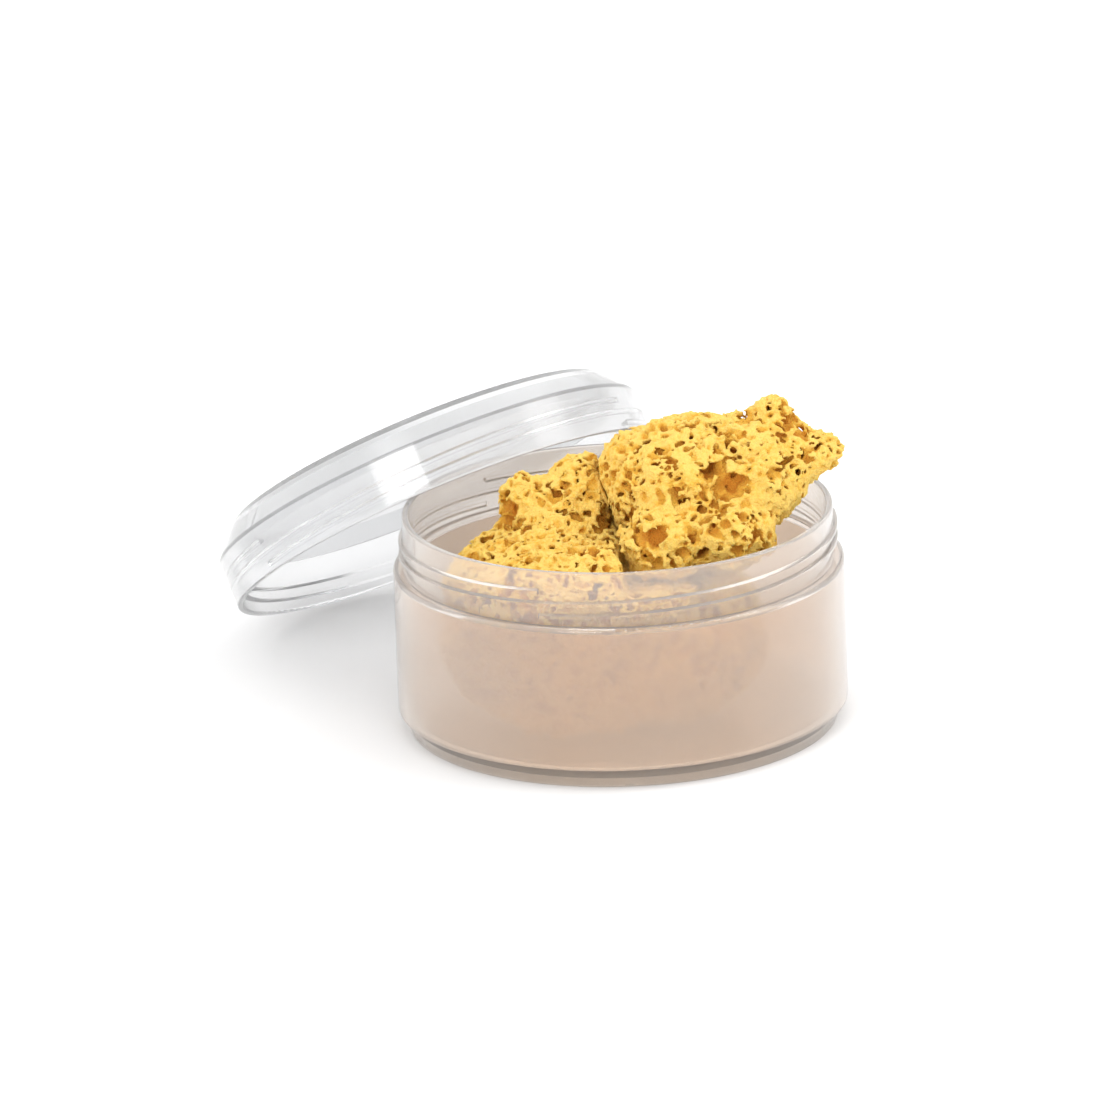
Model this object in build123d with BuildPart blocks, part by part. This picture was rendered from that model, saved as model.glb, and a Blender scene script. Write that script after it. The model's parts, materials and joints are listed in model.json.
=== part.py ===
from build123d import *
from math import cos, radians, sin, tan
import os

# Low screw-top jar of natural polypropylene, its lid leaning on it, and two pieces of sea sponge.
# Millimetres, +Z up.  The origin is the centre of the jar's foot, on the table.
# The jar's front faces -Y.  The lid leans on the back-left of the rim.

os.makedirs("parts", exist_ok=True)

# ---------------------------------------------------------------- jar
JAR_HEIGHT = 46.5
BODY_RADIUS = 47.5
CUP_RADIUS = 45.3            # outside of the inner cup: the neck above, the foot below
CUP_WALL = 1.4
SHOULDER_HEIGHT = 35.0
APRON_WALL = 1.1             # outer wall that hangs from the shoulder
APRON_BOTTOM = 4.2
FLOOR_TOP = 3.0
FLOOR_UNDER = 1.5            # the floor stands clear of the table inside the foot ring
FOOT_RING_WIDTH = 2.2
SHOULDER_WALL = 1.2
SHOULDER_ROUND = 0.8
LIP_ROUND = 0.45
FLOOR_CORNER = 2.0
FOOT_EDGE = 0.35
GATE_MARK_RADIUS = 1.6
GATE_MARK_DEPTH = 0.4

# ---------------------------------------------------------------- screw thread, three starts
THREAD_STARTS = 3
THREAD_LEAD = 8.0
THREAD_TURN = 240.0          # wrap of each start, degrees
THREAD_WIDTH = 1.5           # at the root
THREAD_CREST = 0.6
NECK_THREAD_HEIGHT = 0.9     # how far a ridge stands off the neck
NECK_THREAD_BOTTOM = 9.6     # below the rim
NECK_THREAD_ANGLE = -112.0   # where the first start begins
ROOT_DEPTH = 0.3             # how far a ridge is sunk into its wall
PARTING_ANGLE = -79.0
PARTING_RIDGE = 0.12

# ---------------------------------------------------------------- lid, in its own frame
LID_RADIUS = 48.5
LID_WALL = 1.5
LID_SKIRT = 10.75            # straight part of the side
LID_HEIGHT = 17.0
LID_TOP_RADIUS = 42.9        # flat of the closed top, inside the bevel
LID_PLATE = 1.7
LID_EDGE_ROUND = 0.7
BEVEL_INSET = 0.7            # the bevel's inside corners lie this far in at the top
BEVEL_DROP = 0.5             # and this far down at the side
SEAL_RADIUS = 43.3           # outside of the plug ring that enters the jar's mouth
SEAL_WALL = 1.0
SEAL_BOTTOM = 9.8
SEAL_ROOT = 0.2              # how far the ring is sunk into the closed top
LID_THREAD_HEIGHT = 1.2
LID_THREAD_BOTTOM = 1.9

# the lid leans outwards over the rim, its low edge on the table
LEAN = 34.0                  # tilt of the closed top away from level, degrees
LEAN_BEARING = 129.0         # compass of the outward lean, from +X towards +Y
LEAN_REACH = 63.0            # rim circle's centre from the jar's axis, along the bearing
LEAN_SIDESTEP = -4.0         # and across it
LEAN_GAP = 0.5               # daylight between the lid and the table

# ---------------------------------------------------------------- sponge pieces
FLOOR_GAP = 0.3
SPONGE_GAP = 0.4             # between the two pieces
LUMP_CENTRE = (-10.0, -12.0)
LUMP_RADIUS = 27.2
LUMP_HEIGHT = 50.0
LUMP_FOOT = 0.5              # flat foot, flank and top of a lump, as shares of its radius
LUMP_FLANK = 0.9
LUMP_TOP = 0.45
HEEL_CENTRE = (8.0, -8.0)    # lower lump to the right, under the upper piece
HEEL_RADIUS = 24.0
HEEL_HEIGHT = 44.0
CROWN_CENTRE = (-14.0, -2.5, 43.0)
CROWN_LENGTH = 46.0
CROWN_RADIUS = 13.0
SEAT_HEIGHT = 37.5           # level bed on the lower piece that carries the upper one
CLEFT_X = 1.5                # where the bed turns up into the cleft
CLEFT_SLOPE = 16.0           # cleft leans back from upright, degrees
CLEFT_ROUND = 6.0
BIG_LENGTH = 52.0            # upper piece, end to end
BIG_START = (-4.5, -7.0, 49.5)
BIG_RISE = 12.0              # its long axis climbs to the right, degrees
BIG_RADIUS = 18.0
BIG_SHOULDER = 0.66          # its blunt end and its neck, as shares of its radius
BIG_NECK = 0.5
TIP_RADIUS = 1.2
ROOM = 120.0                 # larger than the object


def thread_ridges(wall_radius, height_off_wall, bottom, first_angle, inwards):
    """The starts of one thread, as separate ridges sunk a little into their wall."""
    side = -1 if inwards else 1
    root = wall_radius - side * ROOT_DEPTH
    crest = wall_radius + side * height_off_wall
    rise = THREAD_LEAD * THREAD_TURN / 360
    with BuildPart(mode=Mode.PRIVATE) as ridge:
        with BuildLine() as path:
            Helix(THREAD_LEAD, rise, wall_radius, center=(0, 0, bottom))
        with BuildSketch(Plane.XZ):
            with BuildLine():
                Polyline(
                    (root, bottom - THREAD_WIDTH / 2),
                    (crest, bottom - THREAD_CREST / 2),
                    (crest, bottom + THREAD_CREST / 2),
                    (root, bottom + THREAD_WIDTH / 2),
                    close=True,
                )
            make_face()
        sweep(path=path.line, is_frenet=True)
    step = 360 / THREAD_STARTS
    return [ridge.part.rotate(Axis.Z, first_angle + step * start) for start in range(THREAD_STARTS)]


# ================================================================ jar
cup_inner = CUP_RADIUS - CUP_WALL
apron_inner = BODY_RADIUS - APRON_WALL
shoulder_under = SHOULDER_HEIGHT - SHOULDER_WALL

with BuildPart() as jar:
    with BuildSketch(Plane.XZ) as jar_section:
        with BuildLine():
            Polyline(
                (0, FLOOR_UNDER),
                (CUP_RADIUS - FOOT_RING_WIDTH, FLOOR_UNDER),
                (CUP_RADIUS - FOOT_RING_WIDTH, 0),
                (CUP_RADIUS, 0),
                (CUP_RADIUS, shoulder_under),
                (apron_inner, shoulder_under),
                (apron_inner, APRON_BOTTOM),
                (BODY_RADIUS, APRON_BOTTOM),
                (BODY_RADIUS, SHOULDER_HEIGHT),
                (CUP_RADIUS, SHOULDER_HEIGHT),
                (CUP_RADIUS, JAR_HEIGHT),
                (cup_inner, JAR_HEIGHT),
                (cup_inner, FLOOR_TOP),
                (0, FLOOR_TOP),
                close=True,
            )
        make_face()
        corners = jar_section.vertices()
        fillet(corners.sort_by_distance((BODY_RADIUS, SHOULDER_HEIGHT))[0], SHOULDER_ROUND)
        fillet(jar_section.vertices().group_by(Axis.Y)[-1], LIP_ROUND)
        fillet(jar_section.vertices().sort_by_distance((cup_inner, FLOOR_TOP))[0], FLOOR_CORNER)
        fillet(jar_section.vertices().sort_by_distance((CUP_RADIUS, 0))[0], FOOT_EDGE)
        fillet(jar_section.vertices().sort_by_distance((BODY_RADIUS, APRON_BOTTOM))[0], FOOT_EDGE)
    revolve(axis=Axis.Z)
    add(
        thread_ridges(
            CUP_RADIUS, NECK_THREAD_HEIGHT, JAR_HEIGHT - NECK_THREAD_BOTTOM, NECK_THREAD_ANGLE, False
        )
    )
    # mould parting line on the neck, and the gate mark under the floor
    with BuildSketch(Plane.XY.offset(SHOULDER_HEIGHT)):
        with PolarLocations(CUP_RADIUS, 1, start_angle=PARTING_ANGLE):
            Rectangle(2 * PARTING_RIDGE, 2 * PARTING_RIDGE)
    extrude(amount=JAR_HEIGHT - SHOULDER_HEIGHT - 2 * LIP_ROUND)
    with BuildSketch(Plane.XY.offset(FLOOR_UNDER)):
        Circle(GATE_MARK_RADIUS)
    extrude(amount=-GATE_MARK_DEPTH)
jar.part.label = "jar"

# ================================================================ lid as moulded
lid_inner = LID_RADIUS - LID_WALL
plate_under = LID_HEIGHT - LID_PLATE
bevel_inner_radius = LID_TOP_RADIUS - BEVEL_INSET
seal_inner = SEAL_RADIUS - SEAL_WALL

with BuildPart() as moulded_lid:
    with BuildSketch(Plane.XZ) as lid_section:
        with BuildLine():
            Polyline(
                (0, plate_under),
                (0, LID_HEIGHT),
                (LID_TOP_RADIUS, LID_HEIGHT),
                (LID_RADIUS, LID_SKIRT),
                (LID_RADIUS, 0),
                (lid_inner, 0),
                (lid_inner, LID_SKIRT - BEVEL_DROP),
                (bevel_inner_radius, plate_under),
                close=True,
            )
        make_face()
        fillet(lid_section.vertices().sort_by_distance((LID_TOP_RADIUS, LID_HEIGHT))[0], LID_EDGE_ROUND)
        fillet(lid_section.vertices().sort_by_distance((LID_RADIUS, LID_SKIRT))[0], LID_EDGE_ROUND)
        fillet(lid_section.vertices().group_by(Axis.Y)[0], LIP_ROUND)
    revolve(axis=Axis.Z)
    # plug ring under the closed top
    with BuildSketch(Plane.XZ) as seal_section:
        with BuildLine():
            Polyline(
                (seal_inner, SEAL_BOTTOM),
                (SEAL_RADIUS, SEAL_BOTTOM),
                (SEAL_RADIUS, plate_under),
                (seal_inner - SEAL_ROOT, plate_under + SEAL_ROOT),
                close=True,
            )
        make_face()
    revolve(axis=Axis.Z)
    add(thread_ridges(lid_inner, LID_THREAD_HEIGHT, LID_THREAD_BOTTOM, 0, True))
    with BuildSketch(Plane.XY.offset(LID_HEIGHT)):
        Circle(GATE_MARK_RADIUS)
    extrude(amount=-GATE_MARK_DEPTH, mode=Mode.SUBTRACT)

# ================================================================ lid where it leans
lean = radians(LEAN)
bearing = radians(LEAN_BEARING)
outwards = Vector(cos(bearing), sin(bearing), 0)
sideways = Vector(-sin(bearing), cos(bearing), 0)
lid_normal = outwards * sin(lean) + Vector(0, 0, cos(lean))
rim_centre = outwards * LEAN_REACH + sideways * LEAN_SIDESTEP
rim_centre += Vector(0, 0, LID_RADIUS * sin(lean) + LEAN_GAP)
leaning = Plane(origin=rim_centre, x_dir=sideways, z_dir=lid_normal)

with BuildPart() as lid:
    add(moulded_lid.part.moved(leaning.location))
lid.part.label = "lid"


# ================================================================ sponge pieces
def above_the_seat(clearance):
    """Room of the upper piece: over the level bed and to the right of the cleft."""
    low = SEAT_HEIGHT + clearance
    left = CLEFT_X + clearance
    top_left = left - (ROOM - low) * tan(radians(CLEFT_SLOPE))
    with BuildPart(mode=Mode.PRIVATE) as room:
        with BuildSketch(Plane.XZ) as side_view:
            with BuildLine():
                Polyline((left, low), (ROOM, low), (ROOM, ROOM), (top_left, ROOM), close=True)
            make_face()
            fillet(side_view.vertices().sort_by_distance((left, low))[0], CLEFT_ROUND)
        extrude(amount=ROOM, both=True)
    return room.part


def lump(centre, radius, height):
    """Rounded lump with a small flat foot, standing on the jar's floor."""
    bottom = FLOOR_TOP + FLOOR_GAP
    with BuildPart(mode=Mode.PRIVATE) as round_lump:
        with BuildSketch(Plane(origin=(*centre, 0), x_dir=(1, 0, 0), z_dir=(0, -1, 0))):
            with BuildLine():
                flank = Spline(
                    (radius * LUMP_FOOT, bottom),
                    (radius * LUMP_FLANK, height / 4),
                    (radius, height / 2),
                    (radius * LUMP_FLANK, height * 4 / 5),
                    (radius * LUMP_TOP, height),
                )
                Polyline(flank @ 1, (0, height), (0, bottom), flank @ 0)
            make_face()
        revolve(axis=Axis((*centre, 0), (0, 0, 1)))
    return round_lump.part


with BuildPart() as lower_sponge:
    add(lump(LUMP_CENTRE, LUMP_RADIUS, LUMP_HEIGHT))
    add(lump(HEEL_CENTRE, HEEL_RADIUS, HEEL_HEIGHT))
    # longer tuft across its top, which reaches over the jar's mouth
    crown_plane = Plane(origin=CROWN_CENTRE, x_dir=(1, 0, 0), z_dir=(0, -1, 0))
    with BuildSketch(crown_plane):
        Ellipse(CROWN_LENGTH / 2, CROWN_RADIUS)
        Rectangle(CROWN_LENGTH, 2 * CROWN_RADIUS, align=(Align.CENTER, Align.MAX), mode=Mode.SUBTRACT)
    revolve(axis=Axis(CROWN_CENTRE, (1, 0, 0)))
    add(above_the_seat(0), mode=Mode.SUBTRACT)
lower_sponge.part.label = "lower_sponge"

rise = radians(BIG_RISE)
big_plane = Plane(origin=BIG_START, x_dir=(cos(rise), 0, sin(rise)), z_dir=(0, -1, 0))

with BuildPart() as upper_sponge:
    # pear-shaped piece, lying on its side, its narrow end pointing to the right
    with BuildSketch(big_plane):
        with BuildLine():
            back = Spline(
                (0, 0),
                (BIG_LENGTH * 0.1, BIG_RADIUS * BIG_SHOULDER),
                (BIG_LENGTH * 0.45, BIG_RADIUS),
                (BIG_LENGTH * 0.85, BIG_RADIUS * BIG_NECK),
                (BIG_LENGTH, TIP_RADIUS),
            )
            Polyline(back @ 1, (BIG_LENGTH, 0), (0, 0))
        make_face()
    revolve(axis=Axis(BIG_START, (cos(rise), 0, sin(rise))))
    add(above_the_seat(SPONGE_GAP), mode=Mode.INTERSECT)
upper_sponge.part.label = "upper_sponge"

export_step(jar.part, "parts/jar.step")
export_step(lid.part, "parts/lid.step")
export_step(lower_sponge.part, "parts/lower_sponge.step")
export_step(upper_sponge.part, "parts/upper_sponge.step")
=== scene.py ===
"""Low screw-top jar, its lid leaning on the rim, and two pieces of sea sponge.

Laid out as an add-on: a property group for each kind of setting, an operator for each piece or
finish, and a panel that lists them.  Run as a script, it builds everything in order around the
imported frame.
"""

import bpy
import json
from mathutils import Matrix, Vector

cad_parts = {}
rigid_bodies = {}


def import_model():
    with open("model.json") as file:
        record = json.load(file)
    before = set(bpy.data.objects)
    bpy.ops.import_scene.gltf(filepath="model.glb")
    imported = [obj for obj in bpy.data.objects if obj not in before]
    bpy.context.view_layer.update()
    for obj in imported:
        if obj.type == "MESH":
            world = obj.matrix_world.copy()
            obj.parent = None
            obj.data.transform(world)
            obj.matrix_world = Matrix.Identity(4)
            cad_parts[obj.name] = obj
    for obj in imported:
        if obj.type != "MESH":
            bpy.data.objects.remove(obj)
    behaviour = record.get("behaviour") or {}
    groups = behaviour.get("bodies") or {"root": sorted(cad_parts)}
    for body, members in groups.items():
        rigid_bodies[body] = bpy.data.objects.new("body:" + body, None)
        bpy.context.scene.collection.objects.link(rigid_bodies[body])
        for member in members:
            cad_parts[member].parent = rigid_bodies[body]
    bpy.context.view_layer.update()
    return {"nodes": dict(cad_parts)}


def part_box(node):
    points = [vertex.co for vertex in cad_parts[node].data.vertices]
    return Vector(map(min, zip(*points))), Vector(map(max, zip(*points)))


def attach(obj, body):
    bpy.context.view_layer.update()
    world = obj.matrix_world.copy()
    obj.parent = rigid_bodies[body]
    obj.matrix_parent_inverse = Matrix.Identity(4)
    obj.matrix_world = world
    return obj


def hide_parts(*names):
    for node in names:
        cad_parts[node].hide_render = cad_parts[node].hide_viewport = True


bl_info = {
    "name": "Sponge Jar",
    "version": (1, 0, 0),
    "blender": (4, 5, 0),
    "location": "3D View > Sidebar > Sponge Jar",
    "description": "Finishes a screw-top jar and lid in plastic and grows the sea sponge in it",
    "category": "Object",
}

import json
from math import cos, radians, sin, tan

import bpy
from mathutils import Matrix, Vector

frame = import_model()

MM = 0.001
JAR_LOW, JAR_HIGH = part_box("jar")
JAR_RADIUS = (JAR_HIGH.x - JAR_LOW.x) / 2
BORE_INSET = 3.9 * MM            # from the jar's outside to its clear bore, with a little air
BORE_RADIUS = JAR_RADIUS - BORE_INSET
FLOOR_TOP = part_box("lower_sponge")[0].z
SHOULDER_DROP = 11.5 * MM        # from the jar's rim down to its shoulder
SHOULDER_HEIGHT = JAR_HIGH.z - SHOULDER_DROP
APRON_MARGIN = 1 * MM            # keeps the outer wall's painted sponge light and frost off the bore and the shoulder's edge
NECK_SHARE = 0.6                 # how much of the outer wall's painted sponge light the neck gets

# the crease between the two pieces of sponge: a seat that the upper one lies on, and a cleft
SEAT_DROP = 0.2 * MM
SEAT_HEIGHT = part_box("upper_sponge")[0].z - SEAT_DROP
CLEFT_X = 1.7 * MM
CLEFT_SLOPE = radians(16.0)
CREASE_ROUND = 3 * MM
CREASE_GRAIN = 7 * MM
CREASE_WOBBLE = 0.8 * MM
HALF_GAP = 0.15 * MM

# the sponge's smooth lump, and what roughens it
LOBE_SUBDIVISIONS = 4
MELT_VOXEL = 1.3 * MM
SOFTEN_PASSES = 12
LUMP_MARGIN = 4 * MM
RAGGED = ((11, 1.5), (4.2, 0.8), (1.3, 0.45), (0.8, 0.2))    # across and height, millimetres

# its pores
BEND_GRAIN = 5 * MM
BEND_REACH = 4.5 * MM
PORE_GRAIN = 7 * MM              # over this distance the pores grow larger and smaller
PORE_VARIES = 0.3
PORE_SCATTER = 0.9
FINE_PORE = 0.5                  # size and reach of the finest pores, as a share of the small ones
CANAL_REACH = 2.2                # how much deeper than the shell the canals go
PORE_EDGE = 0.22 * MM
MOUTH_EDGE = 0.5 * MM

# finishes
# the wall whitens where it is seen edge-on: partly the plastic's scatter, partly a painted
# reflection of the white room
EDGE_WHITE = (0.97, 0.97, 0.97, 1)
PLASTIC_IOR = 1.45
HAZE_GRAIN = 25 * MM
FLOW_GRAIN = 18 * MM
SCUFF_GRAIN = 1.1 * MM
SCUFF_STRETCH = 9
SCUFF_CUT = 0.9
PATCH_GRAIN = 6 * MM
SPECK_GRAIN = 1.1 * MM
FIBRE_GRAIN = 0.45 * MM
SHALLOW_SHADE_AT, DEEP_SHADE_AT = 0.2, 0.75  # depths in the porous shell, as shares of it, where the painted pore shade deepens

# studio
FLOOR_SIZE = 12
LAMP_TARGET = (0, 0, 0.03)
SENSOR_WIDTH = 36
CLIP_END = 50


# ---------------------------------------------------------------- settings
class SpongeSettings(bpy.types.PropertyGroup):
    """How the sponge grows, what colour it is, and the shade painted into its pores"""

    cell: bpy.props.FloatProperty(
        name="Grain",
        description="Edge of one cell of the mesh",
        default=0.40 * MM,
        unit="LENGTH",
        precision=5,
    )
    pore_spacing: bpy.props.FloatProperty(
        name="Pore spacing",
        description="From one small pore to the next",
        default=3.1 * MM,
        unit="LENGTH",
    )
    pore_radius: bpy.props.FloatProperty(
        name="Pore radius",
        description="Mean radius of a small pore",
        default=1.15 * MM,
        unit="LENGTH",
    )
    canal_spacing: bpy.props.FloatProperty(
        name="Canal spacing",
        description="From one large canal to the next",
        default=13.0 * MM,
        unit="LENGTH",
    )
    canal_radius: bpy.props.FloatProperty(
        name="Canal radius",
        description="Radius of a large canal",
        default=2.1 * MM,
        unit="LENGTH",
    )
    shell: bpy.props.FloatProperty(
        name="Porous shell",
        description="Depth to which small pores reach",
        default=4.0 * MM,
        unit="LENGTH",
    )
    crust: bpy.props.FloatVectorProperty(
        name="Crust",
        description="Colour of the outermost fibres",
        subtype="COLOR",
        default=(0.90, 0.61, 0.145),
    )
    # painted shade: a darker colour just below the surface stands in for the shade in the pores
    shallow_pore_shade: bpy.props.FloatVectorProperty(
        name="Flesh",
        description="Colour just below the surface",
        subtype="COLOR",
        default=(0.80, 0.45, 0.06),
    )
    # painted shade: the darkest colour, deep in the pores, stands in for their shade
    hollow: bpy.props.FloatVectorProperty(
        name="Hollow",
        description="Colour deep in the pores",
        subtype="COLOR",
        default=(0.62, 0.25, 0.025),
    )


class PlasticSettings(bpy.types.PropertyGroup):
    """Finish of the natural polypropylene, and the sponge's light painted on the jar's outer wall
    """

    jar_tint: bpy.props.FloatVectorProperty(
        name="Jar tint",
        description="Colour of the jar's neck and inside",
        subtype="COLOR",
        default=(0.96, 0.94, 0.92),
    )
    # painted light: the sponge's warm light through the frosted wall, painted onto the outer wall
    # as colour; the natural plastic is not this colour
    apron_painted_light: bpy.props.FloatVectorProperty(
        name="Apron tint",
        description="Warm colour of the outer wall",
        subtype="COLOR",
        default=(0.98, 0.80, 0.65),
    )
    apron_frost: bpy.props.FloatProperty(
        name="Apron frost",
        description="Roughness of the outer wall",
        default=0.12,
        min=0,
        max=1,
        subtype="FACTOR",
    )
    lid_tint: bpy.props.FloatVectorProperty(
        name="Lid tint",
        description="Colour of the lid's wall",
        subtype="COLOR",
        default=(0.90, 0.905, 0.915),
    )
    jar_frost: bpy.props.FloatProperty(
        name="Jar frost",
        description="Roughness of the jar's neck",
        default=0.1,
        min=0,
        max=1,
        subtype="FACTOR",
    )
    lid_frost: bpy.props.FloatProperty(
        name="Lid frost",
        description="Roughness of the lid's wall",
        default=0.12,
        min=0,
        max=1,
        subtype="FACTOR",
    )
    jar_clarity: bpy.props.FloatProperty(
        name="Jar clarity",
        description="Share of light that passes the jar's wall",
        default=0.8,
        min=0,
        max=1,
        subtype="FACTOR",
    )
    lid_clarity: bpy.props.FloatProperty(
        name="Lid clarity",
        description="Share of light that passes the lid's wall",
        default=0.85,
        min=0,
        max=1,
        subtype="FACTOR",
    )


class StageSettings(bpy.types.PropertyGroup):
    """Camera and studio"""

    elevation: bpy.props.FloatProperty(
        name="Elevation",
        description="Camera height over the table",
        default=radians(18.0),
        subtype="ANGLE",
    )
    roll: bpy.props.FloatProperty(
        name="Roll",
        description="Tilt of the camera about its own axis",
        default=radians(-2.0),
        subtype="ANGLE",
    )
    distance: bpy.props.FloatProperty(
        name="Distance",
        description="Camera to the jar's foot",
        default=2.0,
        unit="LENGTH",
    )
    lens: bpy.props.FloatProperty(
        name="Lens",
        description="Focal length, millimetres",
        default=304.0,
        unit="CAMERA",
    )
    aim_left: bpy.props.FloatProperty(
        name="Aim left",
        description="How far left of the jar's foot the camera aims",
        default=13.5 * MM,
        unit="LENGTH",
    )
    aim_up: bpy.props.FloatProperty(
        name="Aim up",
        description="How far above the jar's foot the camera aims",
        default=33.0 * MM,
        unit="LENGTH",
    )
    key_power: bpy.props.FloatProperty(
        name="Key light",
        description="Watts of the large softbox",
        default=16.0,
        unit="POWER",
    )
    fill_power: bpy.props.FloatProperty(
        name="Fill light",
        description="Watts of the front softbox",
        default=12.0,
        unit="POWER",
    )
    room_light: bpy.props.FloatProperty(
        name="Room light",
        description="Strength of the room",
        default=1.25,
    )


# ---------------------------------------------------------------- small helpers
def deselect_all():
    bpy.ops.object.select_all(action="DESELECT")


def select_only(obj):
    deselect_all()
    obj.select_set(True)
    bpy.context.view_layer.objects.active = obj


def apply_modifiers(obj):
    select_only(obj)
    for modifier in list(obj.modifiers):
        bpy.ops.object.modifier_apply(modifier=modifier.name)


class Nodes:
    """A node tree with short ways to add and link its nodes."""

    def __init__(self, tree):
        self.tree = tree

    def add(self, kind, inputs=None, **settings):
        """A new node with its settings made and its inputs fed."""
        node = self.tree.nodes.new(kind)
        for name, value in settings.items():
            setattr(node, name, value)
        for name, value in (inputs or {}).items():
            self.feed(node.inputs[name], value)
        return node

    def feed(self, socket, value):
        """A link where the value is another node's socket, else a plain value."""
        if isinstance(value, bpy.types.NodeSocket):
            self.tree.links.new(value, socket)
        else:
            socket.default_value = value

    def math(self, operation, first, second=0.0, third=0.0):
        """What a maths node puts out."""
        values = {0: first, 1: second, 2: third}
        return self.add("ShaderNodeMath", values, operation=operation).outputs[0]

    def vector(self, operation, first, second=(0, 0, 0)):
        """A vector maths node; what it puts out is its Vector or its Value."""
        node = self.add("ShaderNodeVectorMath", {0: first}, operation=operation)
        if operation == "SCALE":
            self.feed(node.inputs["Scale"], second)
        else:
            self.feed(node.inputs[1], second)
        return node

    def mix(self, factor, first, second):
        """Two colours mixed."""
        blend = self.add("ShaderNodeMix", data_type="RGBA")
        for label, value in (("Factor", factor), ("A", first), ("B", second)):
            self.feed(next(i for i in blend.inputs if i.name == label and i.enabled), value)
        return next(o for o in blend.outputs if o.enabled)

    def from_axis(self, split):
        """Distance from the jar's upright axis, of a place split in X, Y and Z."""
        flat = self.add("ShaderNodeCombineXYZ", {"X": split.outputs["X"], "Y": split.outputs["Y"]})
        return self.vector("LENGTH", flat.outputs[0]).outputs["Value"]

    def noise(self, place, grain, detail=2.0):
        """Noise from -1 to 1 whose bumps are about a grain across."""
        inputs = {"Vector": place, "Scale": 1 / grain, "Detail": detail}
        value = self.add("ShaderNodeTexNoise", inputs).outputs[0]
        return self.math("MULTIPLY_ADD", value, 4.0, -2.0)


# ---------------------------------------------------------------- sponge
def lobe(centre, size, turn=0.0):
    """One rounded lobe, in millimetres, turned about the line of sight."""
    bpy.ops.mesh.primitive_ico_sphere_add(
        subdivisions=LOBE_SUBDIVISIONS,
        radius=1,
        location=Vector(centre) * MM,
        rotation=(0, radians(turn), 0),
        scale=Vector(size) * MM,
    )
    bpy.ops.object.transform_apply()
    return bpy.context.object


def join_lobes(lobes, name):
    """The lobes melted into one smooth closed lump."""
    deselect_all()
    for one in lobes:
        one.select_set(True)
    bpy.context.view_layer.objects.active = lobes[0]
    bpy.ops.object.join()
    lump = bpy.context.object
    lump.name = lump.data.name = name
    melt = lump.modifiers.new("melt", "REMESH")
    melt.mode = "VOXEL"
    melt.voxel_size = MELT_VOXEL
    soften = lump.modifiers.new("soften", "SMOOTH")
    soften.iterations = SOFTEN_PASSES
    apply_modifiers(lump)
    return lump


def crease_side(nodes, place, upper):
    """Depth inside the room that a piece has on its side of the crease, in metres."""
    split = nodes.add("ShaderNodeSeparateXYZ", {0: place})
    wobble = nodes.noise(place, CREASE_GRAIN, 1.0)
    over_seat = nodes.math("SUBTRACT", split.outputs["Z"], SEAT_HEIGHT)
    lean = nodes.math("MULTIPLY", over_seat, tan(CLEFT_SLOPE))
    over_cleft = nodes.math("ADD", nodes.math("SUBTRACT", split.outputs["X"], CLEFT_X), lean)
    room = nodes.math("SMOOTH_MIN", over_seat, over_cleft, CREASE_ROUND)
    room = nodes.math("MULTIPLY_ADD", wobble, CREASE_WOBBLE, room)
    side = room if upper else nodes.math("MULTIPLY", room, -1.0)
    return nodes.math("SUBTRACT", side, HALF_GAP)


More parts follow.
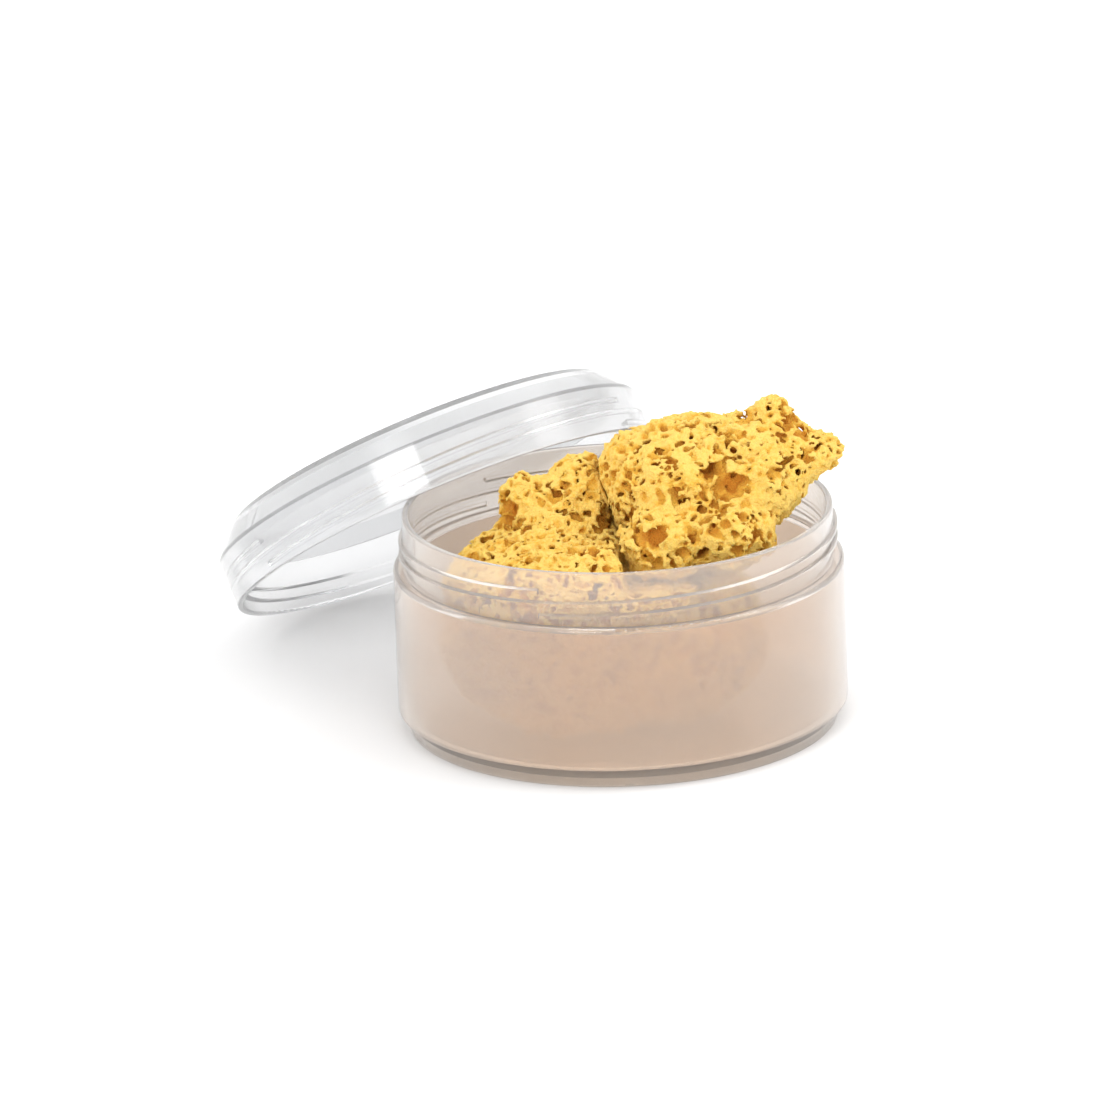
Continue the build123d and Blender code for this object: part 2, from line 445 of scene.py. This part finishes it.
def pore_group(name, low, high, mouths, upper, settings):
    """Geometry nodes that turn a smooth lump into a fibrous network of open pores."""
    tree = bpy.data.node_groups.new(name, "GeometryNodeTree")
    tree.interface.new_socket("Lump", in_out="INPUT", socket_type="NodeSocketGeometry")
    tree.interface.new_socket("Sponge", in_out="OUTPUT", socket_type="NodeSocketGeometry")
    nodes = Nodes(tree)
    source = nodes.add("NodeGroupInput")
    target = nodes.add("NodeGroupOutput")
    place = nodes.add("GeometryNodeInputPosition").outputs[0]

    # depth below the smooth lump's surface, positive inside
    near = nodes.add(
        "GeometryNodeProximity",
        {"Geometry": source.outputs[0]},
        target_element="FACES",
    )
    normal = nodes.add("GeometryNodeInputNormal").outputs[0]
    sample = nodes.add(
        "GeometryNodeSampleNearestSurface",
        {"Mesh": source.outputs[0]},
        data_type="FLOAT_VECTOR",
    )
    nodes.feed(sample.inputs["Value"], normal)
    nodes.feed(sample.inputs["Sample Position"], place)
    offset = nodes.vector("SUBTRACT", near.outputs["Position"], place).outputs["Vector"]
    facing = nodes.vector("DOT_PRODUCT", offset, sample.outputs["Value"]).outputs["Value"]
    depth = nodes.math("MULTIPLY", nodes.math("SIGN", facing), near.outputs["Distance"])

    # ragged outline: knobs, tufts and fibres
    for across, height in RAGGED:
        bumps = nodes.noise(place, across * MM)
        depth = nodes.math("MULTIPLY_ADD", bumps, height * MM, depth)

    # the room the piece has: inside the jar's bore, above its floor, on its side of the crease
    depth = nodes.math("MINIMUM", depth, crease_side(nodes, place, upper))
    if not upper:
        split = nodes.add("ShaderNodeSeparateXYZ", {0: place})
        from_wall = nodes.math("SUBTRACT", BORE_RADIUS, nodes.from_axis(split))
        depth = nodes.math("MINIMUM", depth, from_wall)
        from_floor = nodes.math("SUBTRACT", split.outputs["Z"], FLOOR_TOP)
        depth = nodes.math("MINIMUM", depth, from_floor)

    # small pores in the shell, and a few larger canals that go deeper
    swirl = {"Vector": place, "Scale": 1 / BEND_GRAIN, "Detail": 1.0}
    bend = nodes.add("ShaderNodeTexNoise", swirl).outputs["Color"]
    bend = nodes.vector("SUBTRACT", bend, (0.5, 0.5, 0.5)).outputs["Vector"]
    bend = nodes.vector("SCALE", bend, BEND_REACH).outputs["Vector"]
    bent = nodes.vector("ADD", place, bend).outputs["Vector"]
    solid = depth
    small = (settings.pore_spacing, settings.pore_radius, settings.shell)
    fine = [FINE_PORE * measure for measure in small]
    canal = (settings.canal_spacing, settings.canal_radius, settings.shell * CANAL_REACH)
    for spacing, radius, reach in (small, fine, canal):
        pattern = {"Vector": bent, "Scale": 1 / spacing, "Randomness": PORE_SCATTER}
        cells = nodes.add("ShaderNodeTexVoronoi", pattern)
        varies = nodes.noise(place, PORE_GRAIN, 0.0)
        size = nodes.math("MULTIPLY_ADD", varies, PORE_VARIES * radius, radius)
        from_centre = nodes.math("MULTIPLY", cells.outputs["Distance"], spacing)
        wall = nodes.math("SUBTRACT", from_centre, size)
        core = nodes.math("SUBTRACT", depth, reach)
        wall = nodes.math("MAXIMUM", wall, core)
        solid = nodes.math("SMOOTH_MIN", solid, wall, PORE_EDGE)

    # the open mouths of the largest hollows
    for centre, radius in mouths:
        off = nodes.vector("SUBTRACT", bent, Vector(centre) * MM).outputs["Vector"]
        from_centre = nodes.vector("LENGTH", off).outputs["Value"]
        hollow = nodes.math("SUBTRACT", from_centre, radius * MM)
        solid = nodes.math("SMOOTH_MIN", solid, hollow, MOUTH_EDGE)

    # the mesh where the solid's depth is nothing, with its depth in the lump kept for the painted
    # pore shade
    inputs = {"Density": solid, "Background": -1 * MM, "Min": low, "Max": high}
    cell = settings.cell * 1.0
    for axis, length in zip("XYZ", high - low):
        inputs["Resolution " + axis] = int(length / cell)
    volume = nodes.add("GeometryNodeVolumeCube", inputs)
    mesh = nodes.add("GeometryNodeVolumeToMesh", {"Volume": volume.outputs[0], "Threshold": 0.0})
    pit = nodes.add(
        "GeometryNodeStoreNamedAttribute",
        {"Geometry": mesh.outputs[0], "Name": "pit"},
        data_type="FLOAT",
        domain="POINT",
    )
    nodes.feed(pit.inputs["Value"], nodes.math("DIVIDE", depth, settings.shell))
    nodes.feed(target.inputs[0], pit.outputs[0])
    return tree


def grow_sponge(name, lobes, mouths, upper, settings):
    """A piece of sponge from its lobes, with its pores grown and its crumbs taken off."""
    lump = join_lobes([lobe(*one) for one in lobes], name)
    corners = [Vector(corner) for corner in lump.bound_box]
    low = Vector([min(c[i] for c in corners) - LUMP_MARGIN for i in range(3)])
    high = Vector([max(c[i] for c in corners) + LUMP_MARGIN for i in range(3)])
    growth = lump.modifiers.new("pores", "NODES")
    growth.node_group = pore_group(name + " pores", low, high, mouths, upper, settings)
    apply_modifiers(lump)
    keep_main_body(lump)
    select_only(lump)
    bpy.ops.object.shade_smooth()
    return lump


def keep_main_body(lump):
    """Takes off the crumbs that hang in the air near the surface."""
    select_only(lump)
    bpy.ops.object.mode_set(mode="EDIT")
    bpy.ops.mesh.select_all(action="DESELECT")
    bpy.ops.object.mode_set(mode="OBJECT")
    lowest = min(lump.data.vertices, key=lambda v: v.co.z)
    lowest.select = True
    bpy.ops.object.mode_set(mode="EDIT")
    bpy.ops.mesh.select_mode(type="VERT")
    bpy.ops.mesh.select_linked()
    bpy.ops.mesh.select_all(action="INVERT")
    bpy.ops.mesh.delete(type="VERT")
    bpy.ops.object.mode_set(mode="OBJECT")


# ---------------------------------------------------------------- materials
def new_material(name):
    """An empty material with a Principled shader, and short ways to its nodes."""
    material = bpy.data.materials.new(name)
    material.use_nodes = True
    material.node_tree.nodes.clear()
    nodes = Nodes(material.node_tree)
    shader = nodes.add("ShaderNodeBsdfPrincipled")
    nodes.add("ShaderNodeOutputMaterial", {"Surface": shader.outputs[0]})
    return material, nodes, shader


def mould_texture():
    """Faint flow marks and scuffs of moulded plastic, shared by jar and lid."""
    found = bpy.data.node_groups.get("mould texture")
    if found:
        return found
    tree = bpy.data.node_groups.new("mould texture", "ShaderNodeTree")
    for label, default in (("Frost", 0.3), ("Uneven", 0.05)):
        socket = tree.interface.new_socket(label, in_out="INPUT", socket_type="NodeSocketFloat")
        socket.default_value = default
    tree.interface.new_socket("Roughness", in_out="OUTPUT", socket_type="NodeSocketFloat")
    tree.interface.new_socket("Height", in_out="OUTPUT", socket_type="NodeSocketFloat")
    nodes = Nodes(tree)
    source = nodes.add("NodeGroupInput")
    target = nodes.add("NodeGroupOutput")
    place = nodes.add("ShaderNodeTexCoord").outputs["Object"]
    cloud = nodes.noise(place, FLOW_GRAIN, 3.0)
    stretch = {"Vector": place, "Rotation": (0.5, 0.9, 0.6), "Scale": (1, 1, SCUFF_STRETCH)}
    slanted = nodes.add("ShaderNodeMapping", stretch, vector_type="TEXTURE")
    scuff = nodes.noise(slanted.outputs[0], SCUFF_GRAIN, 1.0)
    scuff = nodes.math("MAXIMUM", nodes.math("SUBTRACT", scuff, SCUFF_CUT), 0.0)
    marks = nodes.math("MULTIPLY_ADD", scuff, 1.5, cloud)
    uneven = nodes.math("MULTIPLY", marks, source.outputs["Uneven"])
    nodes.feed(target.inputs["Roughness"], nodes.math("ADD", source.outputs["Frost"], uneven))
    nodes.feed(target.inputs["Height"], cloud)
    return tree


def apron_mask(nodes, place):
    """Where the painted sponge light and the outer frost go: 1 on the outer faces of the jar below
    its shoulder, less on the neck, 0 inside.
    """
    split = nodes.add("ShaderNodeSeparateXYZ", {0: place})
    outside = nodes.math("GREATER_THAN", nodes.from_axis(split), BORE_RADIUS + APRON_MARGIN)
    below = nodes.math("LESS_THAN", split.outputs["Z"], SHOULDER_HEIGHT - APRON_MARGIN)
    share = nodes.math("MULTIPLY_ADD", below, 1 - NECK_SHARE, NECK_SHARE)
    return nodes.math("MULTIPLY", outside, share)


def plastic(name, tint, frost, clarity, apron_painted_light=None, apron_frost=0.0):
    """Natural polypropylene: light passes the wall and is scattered on the way."""
    material, nodes, shader = new_material(name)
    texture = nodes.add("ShaderNodeGroup", node_tree=mould_texture())
    texture.inputs["Frost"].default_value = frost
    place = nodes.add("ShaderNodeTexCoord").outputs["Object"]
    haze = nodes.noise(place, HAZE_GRAIN)
    # whiter where the wall is seen edge-on: partly scatter, partly painted reflection, with a
    # faint random haze
    edge_on = nodes.add("ShaderNodeLayerWeight", {"Blend": 0.5}).outputs["Facing"]
    edge_on = nodes.math("MULTIPLY_ADD", haze, 0.06, edge_on)
    wall = nodes.mix(edge_on, (*tint, 1), EDGE_WHITE)
    # painted light: the sponge's warm light through the wall, painted as colour on the outer wall
    # and, less, on the neck
    if apron_painted_light:
        mask = apron_mask(nodes, place)
        painted_apron = nodes.mix(edge_on, (*apron_painted_light, 1), EDGE_WHITE)
        wall = nodes.mix(mask, wall, painted_apron)
        roughened = nodes.math("MULTIPLY_ADD", mask, apron_frost - frost, frost)
        nodes.feed(texture.inputs["Frost"], roughened)
    nodes.feed(shader.inputs["Base Color"], wall)
    nodes.feed(shader.inputs["Roughness"], texture.outputs["Roughness"])
    shader.inputs["Transmission Weight"].default_value = clarity
    shader.inputs["IOR"].default_value = PLASTIC_IOR
    bump = nodes.add("ShaderNodeBump", {"Strength": 0.05, "Distance": 0.2 * MM})
    nodes.feed(bump.inputs["Height"], texture.outputs["Height"])
    nodes.feed(shader.inputs["Normal"], bump.outputs[0])
    return material


def sponge_finish(settings):
    """Golden crust, with painted shade that darkens and browns down into the pores, one material
    for both pieces.
    """
    found = bpy.data.materials.get("sea sponge")
    if found:
        return found
    material, nodes, shader = new_material("sea sponge")
    place = nodes.add("ShaderNodeTexCoord").outputs["Object"]
    pit = nodes.add("ShaderNodeAttribute", attribute_name="pit").outputs["Fac"]
    patch = nodes.noise(place, PATCH_GRAIN, 3.0)
    speck = nodes.noise(place, SPECK_GRAIN)
    depth = nodes.math("MULTIPLY_ADD", speck, 0.13, pit)
    depth = nodes.math("MULTIPLY_ADD", patch, 0.11, depth)
    # painted shade: the colour darkens with depth in the pores, with specks and patches of tone
    ramp = nodes.add("ShaderNodeValToRGB", {"Fac": depth})
    stops = ramp.color_ramp.elements
    stops[0].position, stops[0].color = 0.0, (*settings.crust, 1)
    stops[1].position, stops[1].color = DEEP_SHADE_AT, (*settings.hollow, 1)
    middle = stops.new(SHALLOW_SHADE_AT)
    middle.color = (*settings.shallow_pore_shade, 1)
    nodes.feed(shader.inputs["Base Color"], ramp.outputs["Color"])
    shader.inputs["Roughness"].default_value = 0.85
    shader.inputs["Subsurface Weight"].default_value = 0.15
    shader.inputs["Subsurface Radius"].default_value = (1.0, 0.55, 0.2)
    shader.inputs["Subsurface Scale"].default_value = 1.5 * MM
    shader.inputs["Specular IOR Level"].default_value = 0.25
    fibre = nodes.noise(place, FIBRE_GRAIN)
    relief = {"Strength": 0.7, "Distance": 0.3 * MM, "Height": fibre}
    bump = nodes.add("ShaderNodeBump", relief)
    nodes.feed(shader.inputs["Normal"], bump.outputs[0])
    return material


def floor_finish():
    """Matt white for the floor."""
    material, _, shader = new_material("white sweep")
    shader.inputs["Base Color"].default_value = (0.9, 0.9, 0.9, 1)
    shader.inputs["Roughness"].default_value = 0.9
    shader.inputs["Specular IOR Level"].default_value = 0.1
    return material


# ---------------------------------------------------------------- operators
class SPONGEJAR_OT_jar(bpy.types.Operator):
    """Gives the jar its frosted plastic"""

    bl_idname = "spongejar.jar"
    bl_label = "Finish Jar"

    def execute(self, context):
        s = context.scene.plastic_settings
        inside = (s.jar_tint, s.jar_frost, s.jar_clarity)
        # the outer wall gets the sponge's light painted on as colour
        finish = plastic("jar plastic", *inside, s.apron_painted_light, s.apron_frost)
        dress(frame["nodes"]["jar"], finish)
        return {"FINISHED"}


class SPONGEJAR_OT_lid(bpy.types.Operator):
    """Gives the lid its clearer plastic"""

    bl_idname = "spongejar.lid"
    bl_label = "Finish Lid"

    def execute(self, context):
        s = context.scene.plastic_settings
        finish = plastic("lid plastic", s.lid_tint, s.lid_frost, s.lid_clarity)
        dress(frame["nodes"]["lid"], finish)
        return {"FINISHED"}


def dress(node, material):
    """The material in all of a CAD node's slots."""
    for material_slot in node.material_slots:
        material_slot.material = material


def dress_bare(piece, material):
    """The material as the only one of a piece."""
    piece.data.materials.clear()
    piece.data.materials.append(material)


class SPONGEJAR_OT_lower_sponge(bpy.types.Operator):
    """Grows the rounder piece of sponge, low in the jar"""

    bl_idname = "spongejar.lower_sponge"
    bl_label = "Grow Lower Sponge"

    def execute(self, context):
        settings = context.scene.sponge_settings
        lobes = [
            ((-10, -12, 24), (27.5, 27.5, 22)),        # main lump, against the front left
            ((8, -8, 21), (23, 23, 17.5)),             # heel, under the upper piece
            ((-25, -8, 34), (12, 14, 9), -8),          # low shoulder to the left
            ((-20, -1, 46), (5.5, 6.5, 9.5), 6),       # upright knob
            ((-11, -2, 43), (10, 11, 11.5)),           # crown
            ((-6.5, 0, 47), (10, 10, 11.5)),           # rise towards the crease
            ((-8, -27, 36), (24, 13.5, 9.5)),          # swell behind the front of the rim
        ]
        mouths = [
            ((-3, -17, 47), 2.2),
            ((-11.5, -14.5, 47.5), 1.5),
            ((-22, -12, 42.5), 1.5),
        ]
        piece = grow_sponge("sea_sponge_lower", lobes, mouths, False, settings)
        dress_bare(piece, sponge_finish(settings))
        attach(piece, "lower_sponge")
        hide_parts("lower_sponge")
        return {"FINISHED"}


class SPONGEJAR_OT_upper_sponge(bpy.types.Operator):
    """Grows the pointed piece of sponge that stands out of the mouth"""

    bl_idname = "spongejar.upper_sponge"
    bl_label = "Grow Upper Sponge"

    def execute(self, context):
        settings = context.scene.sponge_settings
        lobes = [
            ((15, -5, 52.5), (17, 17, 14.5)),          # main body
            ((28, -6, 55), (12.5, 15, 12.5)),          # its right half
            ((36, -6, 60.5), (7, 7.5, 6)),             # slope from the knob down to the beak
            ((38.5, -6, 58), (9.5, 7.5, 5.5)),         # beak over the rim
            ((33.5, -4, 66), (5, 5, 5)),               # knob on top
            ((5, -4, 53), (9, 13, 11.5)),              # left end, at the crease
            ((22, -20, 46), (11, 8.5, 8)),             # pale lobe low at the front
            ((9, -22, 45), (9, 8, 8.5)),               # lobe beside the crease
        ]
        mouths = [
            ((23.5, -20, 56.5), 3.2),
            ((8, -27, 48.5), 2.0),
            ((13, -28, 45), 1.4),
            ((21, -18, 60), 1.6),
        ]
        piece = grow_sponge("sea_sponge_upper", lobes, mouths, True, settings)
        dress_bare(piece, sponge_finish(settings))
        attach(piece, "upper_sponge")
        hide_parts("upper_sponge")
        return {"FINISHED"}


def aim(obj, target):
    """Turns a lamp so that it shines at a point."""
    direction = Vector(target) - obj.location
    obj.rotation_euler = direction.to_track_quat("-Z", "Y").to_euler()


def softbox(name, bearing, height, distance, size, power):
    """A square softbox; bearing 0 is in front of the jar, and grows to the right."""
    across = cos(height)
    towards = Vector((sin(bearing) * across, -cos(bearing) * across, sin(height)))
    place = towards * distance
    bpy.ops.object.light_add(type="AREA", location=place)
    lamp = bpy.context.object
    lamp.name = name
    lamp.data.shape = "SQUARE"
    lamp.data.size = size
    lamp.data.energy = power
    aim(lamp, LAMP_TARGET)


class SPONGEJAR_OT_stage(bpy.types.Operator):
    """Sets the floor, the studio light and the camera"""

    bl_idname = "spongejar.stage"
    bl_label = "Set Stage"

    def execute(self, context):
        s = context.scene.stage_settings
        deselect_all()
        bpy.ops.mesh.primitive_plane_add(size=FLOOR_SIZE, location=(0, 0, 0))
        floor = context.object
        floor.name = "floor"
        floor.data.materials.append(floor_finish())

        softbox(
            "key softbox",
            bearing=radians(95),
            height=radians(50),
            distance=2.4,
            size=1.5,
            power=s.key_power,
        )
        softbox(
            "fill softbox",
            bearing=radians(-22),
            height=radians(30),
            distance=2.2,
            size=0.8,
            power=s.fill_power,
        )

        world = bpy.data.worlds.new("studio")
        context.scene.world = world
        world.use_nodes = True
        background = world.node_tree.nodes["Background"]
        background.inputs["Color"].default_value = (1, 1, 1, 1)
        background.inputs["Strength"].default_value = s.room_light

        # the camera's own directions, rolled about its line of sight
        ahead = Vector((0, cos(s.elevation), -sin(s.elevation)))
        level = Vector((1, 0, 0))
        upright = level.cross(ahead)
        right = cos(s.roll) * level + sin(s.roll) * upright
        up = cos(s.roll) * upright - sin(s.roll) * level
        place = -(s.aim_left * right - s.aim_up * up + s.distance * ahead)
        bpy.ops.object.camera_add()
        camera = context.object
        turn = Matrix((right, up, -ahead)).transposed().to_4x4()
        camera.matrix_world = Matrix.Translation(place) @ turn
        camera.data.lens = s.lens
        camera.data.sensor_width = SENSOR_WIDTH
        camera.data.clip_end = CLIP_END
        context.scene.camera = camera
        context.scene.view_settings.view_transform = "Standard"
        return {"FINISHED"}


class SPONGEJAR_PT_panel(bpy.types.Panel):
    """Lists the settings and the pieces"""

    bl_label = "Sponge Jar"
    bl_space_type = "VIEW_3D"
    bl_region_type = "UI"
    bl_category = "Sponge Jar"

    def draw(self, context):
        layout = self.layout
        for operator in OPERATORS:
            layout.operator(operator.bl_idname)
        for group in SETTINGS:
            box = layout.box()
            for name in group.__annotations__:
                box.prop(getattr(context.scene, SETTINGS[group]), name)


SETTINGS = {
    SpongeSettings: "sponge_settings",
    PlasticSettings: "plastic_settings",
    StageSettings: "stage_settings",
}
OPERATORS = (
    SPONGEJAR_OT_stage,
    SPONGEJAR_OT_jar,
    SPONGEJAR_OT_lid,
    SPONGEJAR_OT_lower_sponge,
    SPONGEJAR_OT_upper_sponge,
)


def register():
    """Makes the settings, the operators and the panel known to Blender."""
    for group, name in SETTINGS.items():
        bpy.utils.register_class(group)
        setattr(bpy.types.Scene, name, bpy.props.PointerProperty(type=group))
    for operator in OPERATORS:
        bpy.utils.register_class(operator)
    bpy.utils.register_class(SPONGEJAR_PT_panel)


def unregister():
    """Takes them away again."""
    bpy.utils.unregister_class(SPONGEJAR_PT_panel)
    for operator in reversed(OPERATORS):
        bpy.utils.unregister_class(operator)
    for group, name in SETTINGS.items():
        delattr(bpy.types.Scene, name)
        bpy.utils.unregister_class(group)


def main():
    """Builds everything in order."""
    register()
    bpy.ops.spongejar.stage()
    bpy.ops.spongejar.jar()
    bpy.ops.spongejar.lid()
    bpy.ops.spongejar.lower_sponge()
    bpy.ops.spongejar.upper_sponge()


if __name__ == "__main__":
    main()
